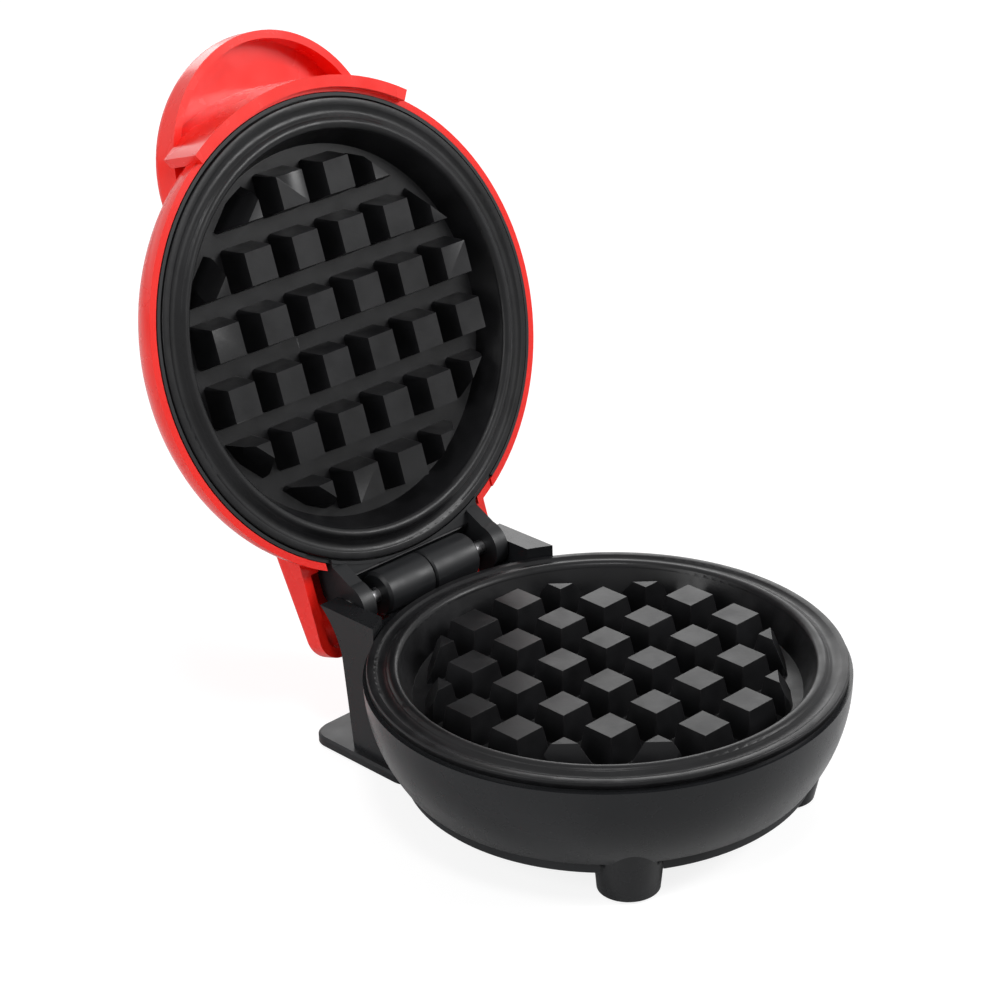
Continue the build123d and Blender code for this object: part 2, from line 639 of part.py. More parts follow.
def make_pin(side):
    """One hinge pin, from the tower's cheek through the arm into the barrel's end."""
    with BuildPart() as pin:
        with BuildSketch(side_plane(side * PIN_END_X)):
            with Locations((HINGE_Y, HINGE_Z)):
                Circle(PIN_R)
        extrude(amount=-side * (PIN_END_X - BARREL_HALF_L + BARREL_END_T))
    return pin


hinge_barrel_left = make_barrel(-1)
hinge_barrel_right = make_barrel(1)
hinge_pin_left = make_pin(-1)
hinge_pin_right = make_pin(1)


# Upper plate and heater, the lower ones turned over about the parting plane
def turned_over(lower):
    """The lid's twin of a piece of the base."""
    with BuildPart() as upper:
        mirror(lower.part, about=PARTING)
    return upper


upper_plate = turned_over(lower_plate)
upper_element = turned_over(lower_element)
upper_shield = turned_over(lower_shield)
upper_plate_screws = turned_over(lower_plate_screws)


# Lid frame: the black ring that holds the upper plate, with the two hinge arms
SEAT_Z = UPPER_FACE_Z + PLATE_RIM_T
ARM_OUTER_X = NOTCH_HALF_W - ARM_SIDE_CLEARANCE
ARM_INNER_X = ARM_OUTER_X - ARM_T
with BuildPart() as lid_frame:
    with BuildSketch(Plane.XZ):
        with BuildLine():
            Polyline(
                (FRAME_R - FRAME_LIP_T, FRAME_LIP_Z),
                (FRAME_R, FRAME_LIP_Z),
                (FRAME_R, SEAT_Z),
                (FRAME_R - 0.5, SEAT_Z + LEDGE_T),
                (FRAME_R - 1.1, RING_TOP_Z),
                (FRAME_R - FRAME_WALL, RING_TOP_Z),
                (FRAME_R - FRAME_WALL, SEAT_Z + LEDGE_T),
                (LEDGE_INNER_R, SEAT_Z + LEDGE_T),
                (LEDGE_INNER_R, SEAT_Z),
                (FRAME_R - FRAME_LIP_T, SEAT_Z),
                (FRAME_R - FRAME_LIP_T, FRAME_LIP_Z),
            )
        make_face()
    revolve(axis=Axis.Z)
    # Rear tab, trimmed to clear the barrel
    with BuildSketch(Plane.XY.offset(FRAME_LIP_Z + 0.3)):
        with Locations((0, (TAB_END_Y + LEDGE_INNER_R - 14) / 2)):
            Rectangle(2 * ARM_OUTER_X, TAB_END_Y - LEDGE_INNER_R + 14)
        Circle(PLATE_R + 0.4, mode=Mode.SUBTRACT)
    extrude(amount=SEAT_Z + LEDGE_T - FRAME_LIP_Z - 0.3)
    with BuildSketch(Plane.XY.offset(FRAME_LIP_Z)):
        with Locations((0, TAB_END_Y + 10)):
            Rectangle(4 * BARREL_HALF_L, 20)
    extrude(amount=RING_TOP_Z - FRAME_LIP_Z, mode=Mode.SUBTRACT)
    # Room for the tower's cheeks when the lid is down
    for side in (-1, 1):
        with BuildSketch(Plane.XY.offset(FRAME_LIP_Z)):
            with Locations((side * (ARM_OUTER_X + TOWER_HALF_W + 1) / 2, HINGE_Y - 8)):
                Rectangle(TOWER_HALF_W + 1 - ARM_OUTER_X, 18)
        extrude(amount=TOWER_TOP_Z + TOWER_LID_CLEARANCE - FRAME_LIP_Z, mode=Mode.SUBTRACT)
    # Curved web behind the barrel, from arm to arm
    with BuildSketch(side_plane(-ARM_OUTER_X)):
        with BuildLine():
            web_outer = CenterArc((HINGE_Y, HINGE_Z), WEB_R, WEB_START, WEB_END - WEB_START)
            web_inner = CenterArc((HINGE_Y, HINGE_Z), WEB_R - WEB_T, WEB_START, WEB_END - WEB_START)
            Line(web_outer @ 0, web_inner @ 0)
            Line(web_outer @ 1, web_inner @ 1)
        make_face()
    extrude(amount=2 * ARM_OUTER_X)
    # Hinge arms, each with a heel that stops the open lid
    for side in (-1, 1):
        with BuildSketch(side_plane(side * (ARM_OUTER_X + ARM_INNER_X) / 2)):
            with BuildLine():
                Polyline(
                    (ARM_ROOT_Y, SEAT_Z),
                    (ARM_ROOT_Y, ARM_ROOT_Z),
                    (HINGE_Y - 3, ARM_ROOT_Z),
                    (HINGE_Y + ARM_R - 1.0, HINGE_Z + 3.4),
                    (HINGE_Y, HINGE_Z),
                    (HINGE_Y - ARM_R + 1.2, HINGE_Z - 3.4),
                    (LEDGE_INNER_R + 1, FRAME_LIP_Z + 0.3),
                    (ARM_ROOT_Y, SEAT_Z),
                )
            make_face()
            with Locations((HINGE_Y, HINGE_Z)):
                Circle(ARM_R)
            with Locations((HINGE_Y + HEEL_L / 2, HINGE_Z)):
                Rectangle(HEEL_L, 2 * HEEL_HALF_H)
        extrude(amount=ARM_T / 2, both=True)
    with BuildSketch(Plane.XY.offset(UPPER_FACE_Z - 5)):
        Circle(PLATE_R + 0.2)
    extrude(amount=SEAT_Z - UPPER_FACE_Z + 5, mode=Mode.SUBTRACT)
    with BuildSketch(side_plane(-TOWER_HALF_W)):
        with Locations((HINGE_Y, HINGE_Z)):
            Circle(PIN_R + PIN_RUN_CLEARANCE)
    extrude(amount=2 * TOWER_HALF_W, mode=Mode.SUBTRACT)
    with BuildSketch(Plane.XY.offset(SEAT_Z)):
        with PolarLocations(FRAME_BOSS_R, 4, start_angle=45):
            Circle(FRAME_SCREW_R)
    extrude(amount=LEDGE_T, mode=Mode.SUBTRACT)
    with BuildSketch(Plane.XY.offset(SEAT_Z)):
        with PolarLocations(FRAME_BOSS_R, 4, start_angle=45):
            Circle(FRAME_SCREW_HEAD_R)
    extrude(amount=LEDGE_T / 2, mode=Mode.SUBTRACT)


# Top cover: the dome, its front skirt, the hollow finger handle and the hood over the hinge
DOME_H = DOME_TOP_Z - DOME_RIM_Z
CROWN_R = (DOME_R**2 + DOME_H**2 - 2 * DOME_R * SHOULDER_R) / (2 * (DOME_H - SHOULDER_R))
SHOULDER_ARC = degrees(atan2(CROWN_R - DOME_H, DOME_R - SHOULDER_R))


def dome_solid(inset):
    """The dome's outline turned about the centre line, inset by a wall."""
    with BuildPart() as dome:
        with BuildSketch(Plane.XZ):
            with BuildLine():
                Line((0, DOME_RIM_Z), (DOME_R - inset, DOME_RIM_Z))
                CenterArc((DOME_R - SHOULDER_R, DOME_RIM_Z), SHOULDER_R - inset, 0, SHOULDER_ARC)
                CenterArc((0, DOME_TOP_Z - CROWN_R), CROWN_R - inset, SHOULDER_ARC, 90 - SHOULDER_ARC)
                Line((0, DOME_TOP_Z - inset), (0, DOME_RIM_Z))
            make_face()
        revolve(axis=Axis.Z)
    return dome


dome_outer = dome_solid(0)
dome_inner = dome_solid(DOME_WALL)

# Handle lobe, its top falling towards the tip
HANDLE_TIP_Y = HANDLE_Y - HANDLE_R
HANDLE_ROOT_Y = HANDLE_Y + HANDLE_R
HANDLE_ROOT_Z = DOME_TOP_Z - 2.2
with BuildPart() as handle_lobe:
    with BuildSketch(side_plane(-HANDLE_R - 1)):
        with BuildLine():
            Polyline(
                (HANDLE_TIP_Y - 1, HANDLE_TOP_Z - HANDLE_TIP_DROP),
                (HANDLE_TIP_Y - 1, HANDLE_RIM_Z),
                (HANDLE_ROOT_Y + 1, HANDLE_RIM_Z),
                (HANDLE_ROOT_Y + 1, HANDLE_ROOT_Z),
            )
            ThreePointArc(
                (HANDLE_ROOT_Y + 1, HANDLE_ROOT_Z),
                (DOME_R * -0.75, HANDLE_TOP_Z),
                (HANDLE_TIP_Y - 1, HANDLE_TOP_Z - HANDLE_TIP_DROP),
            )
        make_face()
    extrude(amount=2 * HANDLE_R + 2)
    with BuildSketch(Plane.XY.offset(HANDLE_RIM_Z)):
        with Locations((0, HANDLE_Y)):
            Circle(HANDLE_R)
    extrude(amount=DOME_H, mode=Mode.INTERSECT)
    fillet(handle_lobe.edges().group_by(Axis.Z)[-1], HANDLE_ROUND)

# Hood over the hinge, sloping to the rear
HOOD_START_Y = 40.0
HOOD_SLOPE = (HOOD_FRONT_TOP_Z - HOOD_REAR_TOP_Z) / (HOOD_REAR_Y - HOOD_BREAK_Y)


def hood_block(inset, rim_z, front_y):
    """The hood's outline as a block, inset by a wall at its sides, rear and roof."""
    top_front_z = HOOD_FRONT_TOP_Z + HOOD_SLOPE * (HOOD_BREAK_Y - front_y) - inset
    with BuildPart() as block:
        with BuildSketch(Plane.XY.offset(rim_z)):
            with Locations((0, (HOOD_REAR_Y - inset + front_y) / 2)):
                Rectangle(2 * (HOOD_HALF_W - inset), HOOD_REAR_Y - inset - front_y)
        extrude(amount=DOME_H)
        fillet(block.edges().filter_by(Axis.Z).group_by(Axis.Y)[-1], HOOD_CORNER_R - inset)
        with BuildSketch(side_plane(-HOOD_HALF_W)):
            with BuildLine():
                Polyline(
                    (front_y, top_front_z),
                    (front_y, top_front_z + DOME_H),
                    (HOOD_REAR_Y, top_front_z + DOME_H),
                    (HOOD_REAR_Y, HOOD_REAR_TOP_Z - inset),
                    (front_y, top_front_z),
                )
            make_face()
        extrude(amount=2 * HOOD_HALF_W, mode=Mode.SUBTRACT)
    return block


hood_outer = hood_block(0, HOOD_RIM_Z, HOOD_START_Y)
with BuildPart() as hood_rounded:
    add(hood_outer.part)
    roof = hood_rounded.faces().sort_by(Axis.Z)[-1]
    fillet(roof.edges().filter_by(lambda edge: edge.center().Y > HOOD_START_Y + 1), HOOD_ROUND)
hood_hollow = hood_block(HOOD_WALL, HOOD_RIM_Z - 1, DOME_R - 6)

# Bosses for the frame screws
with BuildPart() as cover_bosses:
    with BuildSketch(Plane.XY.offset(SEAT_Z + LEDGE_T)):
        with PolarLocations(FRAME_BOSS_R, 4, start_angle=45):
            Circle(FRAME_BOSS_WALL_R)
    extrude(amount=DOME_H)
    add(dome_outer.part, mode=Mode.INTERSECT)

with BuildPart() as top_cover:
    add(dome_outer.part)
    add(handle_lobe.part)
    add(hood_rounded.part)
    add(dome_inner.part, mode=Mode.SUBTRACT)
    add(hood_hollow.part, mode=Mode.SUBTRACT)
    # Finger pocket, open below
    with BuildSketch(Plane.XY.offset(HANDLE_RIM_Z)):
        with Locations((0, HANDLE_Y)):
            Circle(HANDLE_R - HANDLE_WALL)
        Circle(SKIRT_OUTER_R, mode=Mode.SUBTRACT)
    extrude(amount=HANDLE_TOP_Z - HANDLE_TIP_DROP - POCKET_ROOF_T - HANDLE_RIM_Z, mode=Mode.SUBTRACT)
    # Front skirt
    skirt_turn = radians(SKIRT_HALF_ANGLE)
    with BuildSketch(Plane.XY.offset(SKIRT_Z)):
        Circle(SKIRT_OUTER_R)
        Circle(SKIRT_INNER_R, mode=Mode.SUBTRACT)
        with BuildLine():
            Polyline(
                (0, 0),
                (-2 * SKIRT_OUTER_R * sin(skirt_turn), -2 * SKIRT_OUTER_R * cos(skirt_turn)),
                (2 * SKIRT_OUTER_R * sin(skirt_turn), -2 * SKIRT_OUTER_R * cos(skirt_turn)),
                (0, 0),
            )
        make_face(mode=Mode.INTERSECT)
    extrude(amount=HANDLE_RIM_Z - SKIRT_Z)
    with BuildSketch(Plane.XY.offset(HANDLE_RIM_Z)):
        with Locations((0, HANDLE_Y)):
            Circle(HANDLE_R)
        Circle(SKIRT_OUTER_R, mode=Mode.INTERSECT)
        Circle(SKIRT_INNER_R, mode=Mode.SUBTRACT)
    extrude(amount=2 * HANDLE_WALL)
    # Slot in the dome's wall for the frame's tab and arms, and room for the tower's cheeks
    with BuildSketch(Plane.XY.offset(SKIRT_Z)):
        with Locations((0, DOME_R)):
            Rectangle(2 * (NOTCH_HALF_W + 1), 2 * (DOME_R - HOOD_START_Y - 10))
    extrude(amount=HOOD_RIM_Z + 3 - SKIRT_Z, mode=Mode.SUBTRACT)
    with BuildSketch(Plane.XY.offset(SKIRT_Z)):
        with Locations((0, HINGE_Y)):
            Rectangle(2 * (TOWER_HALF_W + 0.6), 2 * (HINGE_Y - 50))
    extrude(amount=TOWER_TOP_Z + TOWER_LID_CLEARANCE - SKIRT_Z, mode=Mode.SUBTRACT)
    # Hole for the indicator lens
    with BuildSketch(Plane.XY.offset(DOME_TOP_Z - DOME_H / 2)):
        with Locations((0, LENS_Y)):
            Circle(LENS_R)
    extrude(amount=DOME_H, mode=Mode.SUBTRACT)
    add(cover_bosses.part)
    with BuildSketch(Plane.XY.offset(SEAT_Z + LEDGE_T)):
        with PolarLocations(FRAME_BOSS_R, 4, start_angle=45):
            Circle(FRAME_SCREW_R)
    extrude(amount=6, mode=Mode.SUBTRACT)


# Indicator: a clear button in the top cover over a small lamp
LENS_TOP_Z = DOME_RIM_Z + DOME_H * (1 - (LENS_Y / DOME_R) ** 2) ** 0.5
with BuildPart() as indicator_lens:
    with BuildSketch(Plane.XY.offset(LENS_TOP_Z - DOME_WALL - 2)):
        with Locations((0, LENS_Y)):
            Circle(LENS_R)
    extrude(amount=DOME_WALL + 2 + LENS_STANDS_OUT)
    fillet(indicator_lens.edges().group_by(Axis.Z)[-1], 0.6)

with BuildPart() as indicator_lamp:
    with BuildSketch(Plane.XY.offset(LENS_TOP_Z - DOME_WALL - 2)):
        with Locations((0, LENS_Y)):
            Circle(LENS_R - 1)
    extrude(amount=-4)


# Screws through the lid frame into the cover's bosses
with BuildPart() as lid_frame_screws:
    with BuildSketch(Plane.XY.offset(SEAT_Z + LEDGE_T / 2)):
        with PolarLocations(FRAME_BOSS_R, 4, start_angle=45):
            Circle(FRAME_SCREW_R)
    extrude(amount=LEDGE_T / 2 + 5)
    with BuildSketch(Plane.XY.offset(SEAT_Z)):
        with PolarLocations(FRAME_BOSS_R, 4, start_angle=45):
            Circle(FRAME_SCREW_HEAD_R)
    extrude(amount=LEDGE_T / 2)


# The lid is swung open, and everything moves so that the origin is under the middle of the whole
base_pieces = {
    "lower_plate": lower_plate,
    "lower_element": lower_element,
    "lower_shield": lower_shield,
    "lower_plate_screws": lower_plate_screws,
    "thermostat": thermostat,
    "thermal_fuse": thermal_fuse,
    "base_bowl": base_bowl,
    "bottom_cover": bottom_cover,
    "bottom_cover_screws": bottom_cover_screws,
    "rear_foot": rear_foot,
    "rear_foot_screws": rear_foot_screws,
    "front_pads": front_pads,
    "rear_pads": rear_pads,
    "cord_gland": cord_gland,
    "terminal_block": terminal_block,
    "hinge_barrel_left": hinge_barrel_left,
    "hinge_barrel_right": hinge_barrel_right,
    "hinge_pin_left": hinge_pin_left,
    "hinge_pin_right": hinge_pin_right,
}
lid_pieces = {
    "upper_plate": upper_plate,
    "upper_element": upper_element,
    "upper_shield": upper_shield,
    "upper_plate_screws": upper_plate_screws,
    "lid_frame": lid_frame,
    "lid_frame_screws": lid_frame_screws,
    "top_cover": top_cover,
    "indicator_lens": indicator_lens,
    "indicator_lamp": indicator_lamp,
}
placed = {}
for name, piece in base_pieces.items():
    placed[name] = piece.part
for name, piece in lid_pieces.items():
    placed[name] = piece.part.rotate(HINGE_AXIS, -LID_OPEN)
boxes = [shape.bounding_box() for shape in placed.values()]
middle_x = (min(box.min.X for box in boxes) + max(box.max.X for box in boxes)) / 2
middle_y = (min(box.min.Y for box in boxes) + max(box.max.Y for box in boxes)) / 2
lowest_z = min(box.min.Z for box in boxes)
to_origin = Location((-middle_x, -middle_y, -lowest_z))
for name, shape in placed.items():
    moved = shape.moved(to_origin)
    moved.label = name
    export_step(moved, "parts/" + name + ".step")
print("origin moved by", -middle_x, -middle_y, -lowest_z)
print("hinge line at Y", HINGE_Y - middle_y, "Z", HINGE_Z - lowest_z)
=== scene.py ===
import bpy
import bmesh
from math import cos, pi, radians, sin
from mathutils import Matrix, Vector


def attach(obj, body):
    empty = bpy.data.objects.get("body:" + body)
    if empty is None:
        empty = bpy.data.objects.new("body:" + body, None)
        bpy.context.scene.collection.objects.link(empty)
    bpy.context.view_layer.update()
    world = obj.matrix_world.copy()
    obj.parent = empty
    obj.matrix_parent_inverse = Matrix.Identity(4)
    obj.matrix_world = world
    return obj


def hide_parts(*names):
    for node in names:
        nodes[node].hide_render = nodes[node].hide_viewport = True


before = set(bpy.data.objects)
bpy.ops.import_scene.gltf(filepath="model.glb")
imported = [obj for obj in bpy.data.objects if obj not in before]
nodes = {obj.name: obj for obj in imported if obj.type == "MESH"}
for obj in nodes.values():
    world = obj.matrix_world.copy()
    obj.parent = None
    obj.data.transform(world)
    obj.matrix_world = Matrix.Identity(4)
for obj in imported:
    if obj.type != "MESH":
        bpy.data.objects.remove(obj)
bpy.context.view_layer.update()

# All lengths are metres in the row frame. The drawing frame of the closed appliance has its origin
# under the middle of the lower plate; the row frame's origin is further back, under the open lid.
MM = 0.001
ROW_SHIFT_Y = -35.90977705391742 * MM
HINGE = Vector((0, 68.6 * MM + ROW_SHIFT_Y, 40.0 * MM))
LID_OPEN = radians(107.34)

# Viewing angle of the photograph
PICTURE_HEIGHT_PX = 1000.0
FOCAL_LENGTH_PX = 2831.17
SENSOR_HEIGHT = 36.0
CAMERA_PLACE = Vector((-454.501 * MM, -438.283 * MM + ROW_SHIFT_Y, 381.427 * MM))
CAMERA_RIGHT = Vector((0.71300, -0.70050, -0.03038))
CAMERA_AHEAD = Vector((0.62479, 0.65441, -0.42588))


# Camera
def make_camera():
    data = bpy.data.cameras.new("camera")
    data.sensor_fit = "VERTICAL"
    data.sensor_height = SENSOR_HEIGHT
    data.lens = FOCAL_LENGTH_PX * SENSOR_HEIGHT / PICTURE_HEIGHT_PX
    data.clip_end = 20.0
    camera = bpy.data.objects.new("camera", data)
    bpy.context.scene.collection.objects.link(camera)
    right = CAMERA_RIGHT.normalized()
    ahead = CAMERA_AHEAD.normalized()
    up = right.cross(ahead).normalized()
    right = ahead.cross(up)
    turn = Matrix((right, up, -ahead)).transposed().to_4x4()
    camera.matrix_world = Matrix.Translation(CAMERA_PLACE) @ turn
    bpy.context.scene.camera = camera


make_camera()


# Node helpers
class Finish:
    """A material under construction, with short calls for the nodes that the finishes share."""

    def __init__(self, name):
        self.material = bpy.data.materials.new(name)
        self.material.use_nodes = True
        self.tree = self.material.node_tree
        self.shader = self.tree.nodes["Principled BSDF"]
        self.place = self.tree.nodes.new("ShaderNodeTexCoord").outputs["Object"]

    def node(self, kind, **values):
        made = self.tree.nodes.new(kind)
        for key, value in values.items():
            setattr(made, key, value)
        return made

    def link(self, source, target):
        self.tree.links.new(source, target)

    def noise(self, scale, detail=3.0, roughness=0.55, stretch=None):
        texture = self.node("ShaderNodeTexNoise")
        texture.inputs["Scale"].default_value = scale
        texture.inputs["Detail"].default_value = detail
        texture.inputs["Roughness"].default_value = roughness
        source = self.place
        if stretch:
            mapping = self.node("ShaderNodeMapping")
            mapping.inputs["Scale"].default_value = stretch
            self.link(source, mapping.inputs["Vector"])
            source = mapping.outputs["Vector"]
        self.link(source, texture.inputs["Vector"])
        return texture.outputs["Fac"]

    def ramp(self, source, low, high, start=0.35, end=0.65):
        spread = self.node("ShaderNodeMapRange")
        spread.inputs["From Min"].default_value = start
        spread.inputs["From Max"].default_value = end
        spread.inputs["To Min"].default_value = low
        spread.inputs["To Max"].default_value = high
        self.link(source, spread.inputs["Value"])
        return spread.outputs["Result"]

    def blend_colours(self, factor, first, second):
        mix = self.node("ShaderNodeMix", data_type="RGBA")
        mix.inputs[6].default_value = (*first, 1)
        mix.inputs[7].default_value = (*second, 1)
        self.link(factor, mix.inputs[0])
        return mix.outputs[2]

    def bump(self, height, strength, distance, below=None):
        made = self.node("ShaderNodeBump")
        made.inputs["Strength"].default_value = strength
        made.inputs["Distance"].default_value = distance
        self.link(height, made.inputs["Height"])
        if below is not None:
            self.link(below, made.inputs["Normal"])
        return made.outputs["Normal"]

    def paint(self, texture, first, second):
        """A base colour that wanders between two colours with a texture."""
        colour = self.blend_colours(self.ramp(texture, 0, 1), first, second)
        self.link(colour, self.shader.inputs["Base Color"])

    def polish(self, texture, low, high):
        """A roughness that wanders between two values with a texture."""
        self.link(self.ramp(texture, low, high), self.shader.inputs["Roughness"])

    def relief(self, normal):
        self.link(normal, self.shader.inputs["Normal"])

    def set(self, **values):
        """Constants on the shader's own sockets, with underscores for the spaces in their names."""
        for key, value in values.items():
            self.shader.inputs[key.replace("_", " ")].default_value = value


# Depths of the surfaces' relief
FAINT_GRAIN = 0.03 * MM
FINE_GRAIN = 0.04 * MM
MOULD_WAVE = 0.4 * MM


def nonstick_coating():
    """Sprayed non-stick coating on the cast plates: near black, slightly pebbled, softly glossy."""
    f = Finish("nonstick_coating")
    f.set(IOR=1.5, Specular_IOR_Level=0.20)
    f.paint(f.noise(60, 4), (0.006, 0.006, 0.0065), (0.010, 0.010, 0.011))
    f.polish(f.noise(160, 5), 0.28, 0.40)
    coarse = f.bump(f.noise(900, 2), 0.14, 0.12 * MM)
    f.relief(f.bump(f.noise(4200, 2), 0.12, FINE_GRAIN, coarse))
    return f.material


def moulded_black(name, rough_low, rough_high, grain):
    """Black moulded plastic with a fine moulded grain and slight flow marks."""
    f = Finish(name)
    f.set(IOR=1.49, Specular_IOR_Level=0.26)
    f.paint(f.noise(25, 3), (0.010, 0.0105, 0.0115), (0.015, 0.0155, 0.017))
    f.polish(f.noise(120, 4), rough_low, rough_high)
    flow = f.bump(f.noise(30, 2), 0.08, MOULD_WAVE)
    f.relief(f.bump(f.noise(3200, 2), grain, FINE_GRAIN, flow))
    return f.material


def gloss_red():
    """Glossy red moulded plastic with the slight waviness of a polished mould."""
    f = Finish("gloss_red")
    f.set(IOR=1.5, Specular_IOR_Level=0.30, Coat_Weight=0.12, Coat_Roughness=0.08)
    f.paint(f.noise(18, 2), (0.86, 0.014, 0.008), (0.92, 0.019, 0.011))
    f.polish(f.noise(90, 4), 0.20, 0.30)
    f.relief(f.bump(f.noise(45, 2), 0.06, MOULD_WAVE))
    return f.material


def worked_metal(name, colour, rough, stretch):
    """Plain metal with fine drawn lines and small stains."""
    f = Finish(name)
    f.set(Metallic=1.0)
    darker = tuple(part * 0.75 for part in colour)
    f.paint(f.noise(220, 4), colour, darker)
    f.polish(f.noise(700, 3, stretch=stretch), rough - 0.08, rough + 0.10)
    f.relief(f.bump(f.noise(1500, 2, stretch=stretch), 0.15, FAINT_GRAIN))
    return f.material


def plain_plastic(name, first, second, rough, alpha=None):
    """A small moulded piece in one colour with slight mottling."""
    f = Finish(name)
    f.paint(f.noise(300, 3), first, second)
    f.polish(f.noise(900, 3), rough - 0.05, rough + 0.08)
    f.relief(f.bump(f.noise(2500, 2), 0.10, FAINT_GRAIN))
    if alpha is not None:
        f.set(Alpha=alpha)
    return f.material


coating = nonstick_coating()
bowl_plastic = moulded_black("bowl_plastic", 0.22, 0.30, 0.08)
frame_plastic = moulded_black("frame_plastic", 0.34, 0.46, 0.14)
cover_plastic = moulded_black("cover_plastic", 0.50, 0.60, 0.16)
red_plastic = gloss_red()
steel = worked_metal("zinc_steel", (0.52, 0.52, 0.53), 0.34, (1, 1, 0.2))
heater_metal = worked_metal("heater_tube", (0.33, 0.31, 0.29), 0.45, (0.3, 1, 1))
sheet_metal = worked_metal("shield_sheet", (0.70, 0.70, 0.71), 0.32, (1, 0.15, 1))
rubber = plain_plastic("rubber", (0.018, 0.018, 0.018), (0.028, 0.027, 0.026), 0.75)
nylon = plain_plastic("natural_nylon", (0.62, 0.60, 0.54), (0.70, 0.68, 0.62), 0.45)
lens_clear = plain_plastic("lens_amber", (0.62, 0.10, 0.03), (0.72, 0.14, 0.04), 0.12, 0.75)
lamp_glass = plain_plastic("lamp_glass", (0.80, 0.42, 0.22), (0.86, 0.50, 0.30), 0.15)

finishes = {
    "lower_plate": coating,
    "upper_plate": coating,
    "base_bowl": bowl_plastic,
    "bottom_cover": cover_plastic,
    "rear_foot": frame_plastic,
    "lid_frame": frame_plastic,
    "hinge_barrel_left": frame_plastic,
    "hinge_barrel_right": frame_plastic,
    "cord_gland": frame_plastic,
    "top_cover": red_plastic,
    "front_pads": rubber,
    "rear_pads": rubber,
    "lower_element": heater_metal,
    "upper_element": heater_metal,
    "lower_shield": sheet_metal,
    "upper_shield": sheet_metal,
    "thermostat": sheet_metal,
    "thermal_fuse": steel,
    "terminal_block": nylon,
    "indicator_lens": lens_clear,
    "indicator_lamp": lamp_glass,
}
for name, piece in nodes.items():
    made = finishes.get(name, steel)
    for place in piece.material_slots:
        place.material = made
    if not piece.material_slots:
        piece.data.materials.append(made)


# The lid's pieces are worked out closed and then swung open about the hinge line
SWING_OPEN = Matrix.Translation(HINGE) @ Matrix.Rotation(-LID_OPEN, 4, "X") @ Matrix.Translation(-HINGE)
SWING_CLOSED = SWING_OPEN.inverted()
CENTRE = Vector((0, ROW_SHIFT_Y, 0))


def bake(work, name, finish=None):
    """The evaluated object as one plain mesh object, with the working one removed."""
    bpy.context.view_layer.update()
    found = work.evaluated_get(bpy.context.evaluated_depsgraph_get())
    mesh = bpy.data.meshes.new_from_object(found)
    mesh.name = name
    plain = bpy.data.objects.new(name, mesh)
    bpy.context.scene.collection.objects.link(plain)
    bpy.data.objects.remove(work)
    if finish:
        mesh.materials.clear()
        mesh.materials.append(finish)
    return plain


# Dressed copies of the plates, whose pegs have small rounded edges that catch the light
PEG_FIELD_R = 51.0 * MM
PEG_ROUND = 0.35 * MM
PEG_ROUND_SEGMENTS = 2
PEG_EDGE_ANGLE = 28.0
SHADING_EDGE_ANGLE = 36.0
MERGE_WITHIN = 0.002 * MM
FLAT_WITHIN = 0.05


def dressed(node, name, body, wanted):
    """A merged copy of a plate with its wanted edges rounded, standing for that node."""
    build = bmesh.new()
    build.from_mesh(nodes[node].data)
    bmesh.ops.remove_doubles(build, verts=build.verts, dist=MERGE_WITHIN)
    flat_verts = [vert for vert in build.verts if wanted(vert.co)]
    flat_edges = [edge for edge in build.edges if wanted((edge.verts[0].co + edge.verts[1].co) / 2)]
    bmesh.ops.dissolve_limit(build, angle_limit=radians(FLAT_WITHIN), verts=flat_verts, edges=flat_edges)
    weight = build.edges.layers.float.new("bevel_weight_edge")
    for edge in build.edges:
        if len(edge.link_faces) != 2:
            continue
        if edge.calc_face_angle(0) < radians(PEG_EDGE_ANGLE):
            continue
        middle = (edge.verts[0].co + edge.verts[1].co) / 2
        if wanted(middle):
            edge[weight] = 1.0
    mesh = bpy.data.meshes.new(name + "_base")
    build.to_mesh(mesh)
    build.free()
    mesh.polygons.foreach_set("use_smooth", [True] * len(mesh.polygons))
    mesh.set_sharp_from_angle(angle=radians(SHADING_EDGE_ANGLE))
    work = bpy.data.objects.new(name + "_work", mesh)
    bpy.context.scene.collection.objects.link(work)
    round_edge = work.modifiers.new("round_edge", "BEVEL")
    round_edge.limit_method = "WEIGHT"
    round_edge.width = PEG_ROUND
    round_edge.segments = PEG_ROUND_SEGMENTS
    round_edge.use_clamp_overlap = True
    even = work.modifiers.new("even_normals", "WEIGHTED_NORMAL")
    even.mode = "FACE_AREA"
    even.keep_sharp = True
    piece = bake(work, name, coating)
    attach(piece, body)
    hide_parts(node)


def on_lower_pegs(point):
    return (point - CENTRE).xy.length < PEG_FIELD_R


def on_upper_pegs(point):
    return (SWING_CLOSED @ point - CENTRE).xy.length < PEG_FIELD_R


dressed("lower_plate", "lower_plate_coated", "body", on_lower_pegs)
dressed("upper_plate", "upper_plate_coated", "lid", on_upper_pegs)


# Cross-head screws, one tree for every group. Sizes are in millimetres.
SCREW_SIZES = {"Head Radius": 2.6, "Head Height": 1.4, "Shank Radius": 1.4, "Shank Length": 6.0}
HEAD_SIDES = 40
SHANK_SIDES = 20
CROSS_LENGTH = 1.15
CROSS_WIDTH = 0.26


